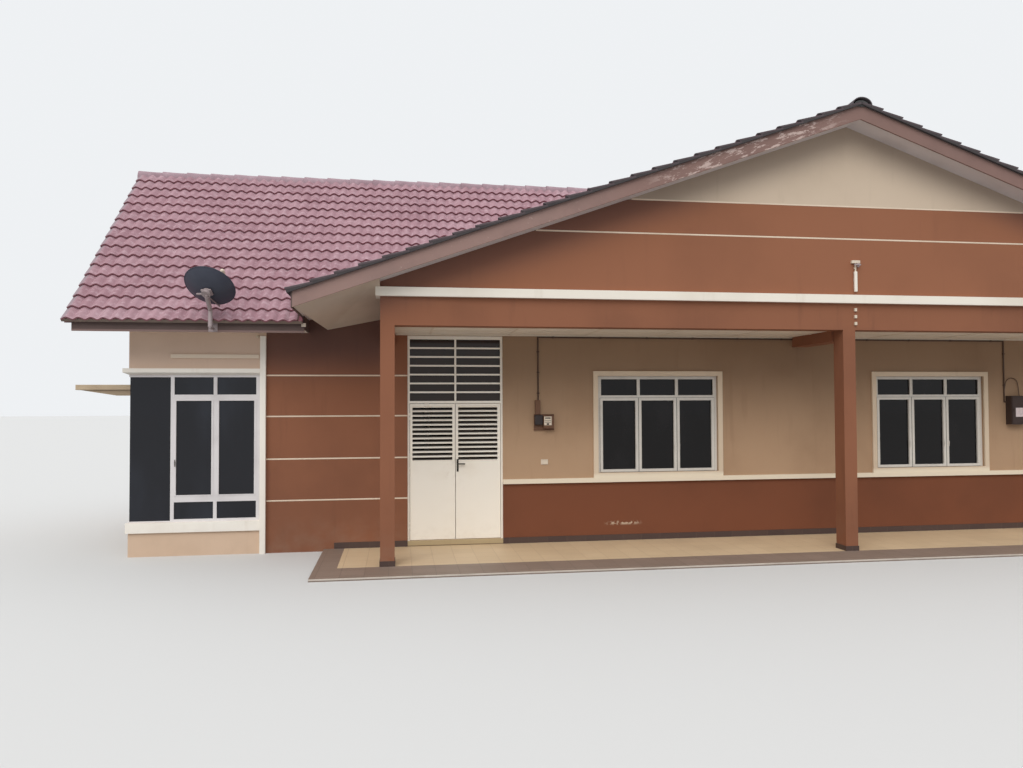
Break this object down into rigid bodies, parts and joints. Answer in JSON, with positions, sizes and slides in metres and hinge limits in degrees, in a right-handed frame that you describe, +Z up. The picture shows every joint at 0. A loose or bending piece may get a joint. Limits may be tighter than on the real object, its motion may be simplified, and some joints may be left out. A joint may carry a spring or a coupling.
{
  "type": "bungalow",
  "caption": "Single-storey bungalow with a wide front gable over a shallow columned porch, steeper tiled side wings, corner bay windows and a louvred double door.",
  "frame": {"origin": "centre of the footprint at ground level", "axes": "+X to the right seen from the front, +Y from the porch to the rear, +Z up"},
  "size_m": [22.51, 7.52, 6.4795],
  "materials": {
    "floor_tile": "matt beige floor tiles",
    "border_tile": "matt grey-brown floor tiles",
    "brown_render": "brown paint on smooth render",
    "cream_render": "cream paint on smooth render",
    "pale_render": "pale cream paint on smooth render",
    "white_render": "white paint on smooth render",
    "ceiling_board": "painted ceiling board",
    "main_tile": "weathered concrete roof tiles",
    "wing_tile": "pinkish red concrete roof tiles",
    "ridge_tile": "concrete ridge tiles",
    "barge_paint": "reddish brown paint, peeling",
    "soffit_board": "grey-beige painted board",
    "dark_fascia": "dark brown paint",
    "white_frame": "powder coated, off white",
    "dark_glass": "dark tinted",
    "dark_tile": "dark brown skirting tile",
    "door_paint": "off-white gloss paint on steel",
    "black_metal": "black",
    "canopy_concrete": "beige painted concrete",
    "dish_metal": "dark blue-grey paint",
    "mast_metal": "dull galvanised",
    "brown_plastic": "dark brown",
    "pale_plastic": "cream"
  },
  "bodies": {
    "house": {"ground_floor": "floor_tile", "porch_floor": "floor_tile", "porch_border": "border_tile", "striped_wall_left": "brown_render", "striped_wall_right": "brown_render", "porch_wall": "cream_render", "door_heads": "cream_render", "bay_wall_left": "pale_render", "bay_wall_right": "pale_render", "side_wall_left": "pale_render", "side_wall_right": "pale_render", "rear_wall": "pale_render", "rear_gable": "pale_render", "gable_wall_lower": "brown_render", "gable_wall_upper": "cream_render", "front_beam": "brown_render", "white_band": "white_render", "cross_beams": "brown_render", "ceilings": "ceiling_board", "columns": "brown_render", "main_roof_left": "main_tile", "main_roof_right": "main_tile", "wing_roof_left": "wing_tile", "wing_roof_right": "wing_tile", "ridge_caps": "ridge_tile", "barge_boards": "barge_paint", "main_soffit": "soffit_board", "fascias": "dark_fascia", "bay_trim": "white_render", "bay_frames": "white_frame", "bay_glass": "dark_glass", "plaster_trims": "white_render", "window_frames": "white_frame", "window_glass": "dark_glass", "skirting": "dark_tile", "door_frame_left": "door_paint", "door_frame_right": "door_paint", "fixed_leaves": "door_paint", "side_canopies": "canopy_concrete", "dish": "dish_metal", "dish_mast": "mast_metal", "meter_boxes": "brown_plastic", "conduit": "brown_plastic", "wall_fittings": "pale_plastic"},
    "leaf_left": {"door_leaf_left": "door_paint"},
    "leaf_right": {"door_leaf_right": "door_paint", "door_handle": "black_metal"}
  },
  "joints": [
    {"name": "door_left_leaf", "type": "hinge", "parent": "house", "child": "leaf_left", "pos_m": [-6.294, -1.649, 1.1], "axis": [0, 0, 1], "range_deg": [0, 90]},
    {"name": "door_right_leaf", "type": "hinge", "parent": "house", "child": "leaf_right", "pos_m": [-4.936, -1.649, 1.1], "axis": [0, 0, -1], "range_deg": [0, 90]}
  ]
}
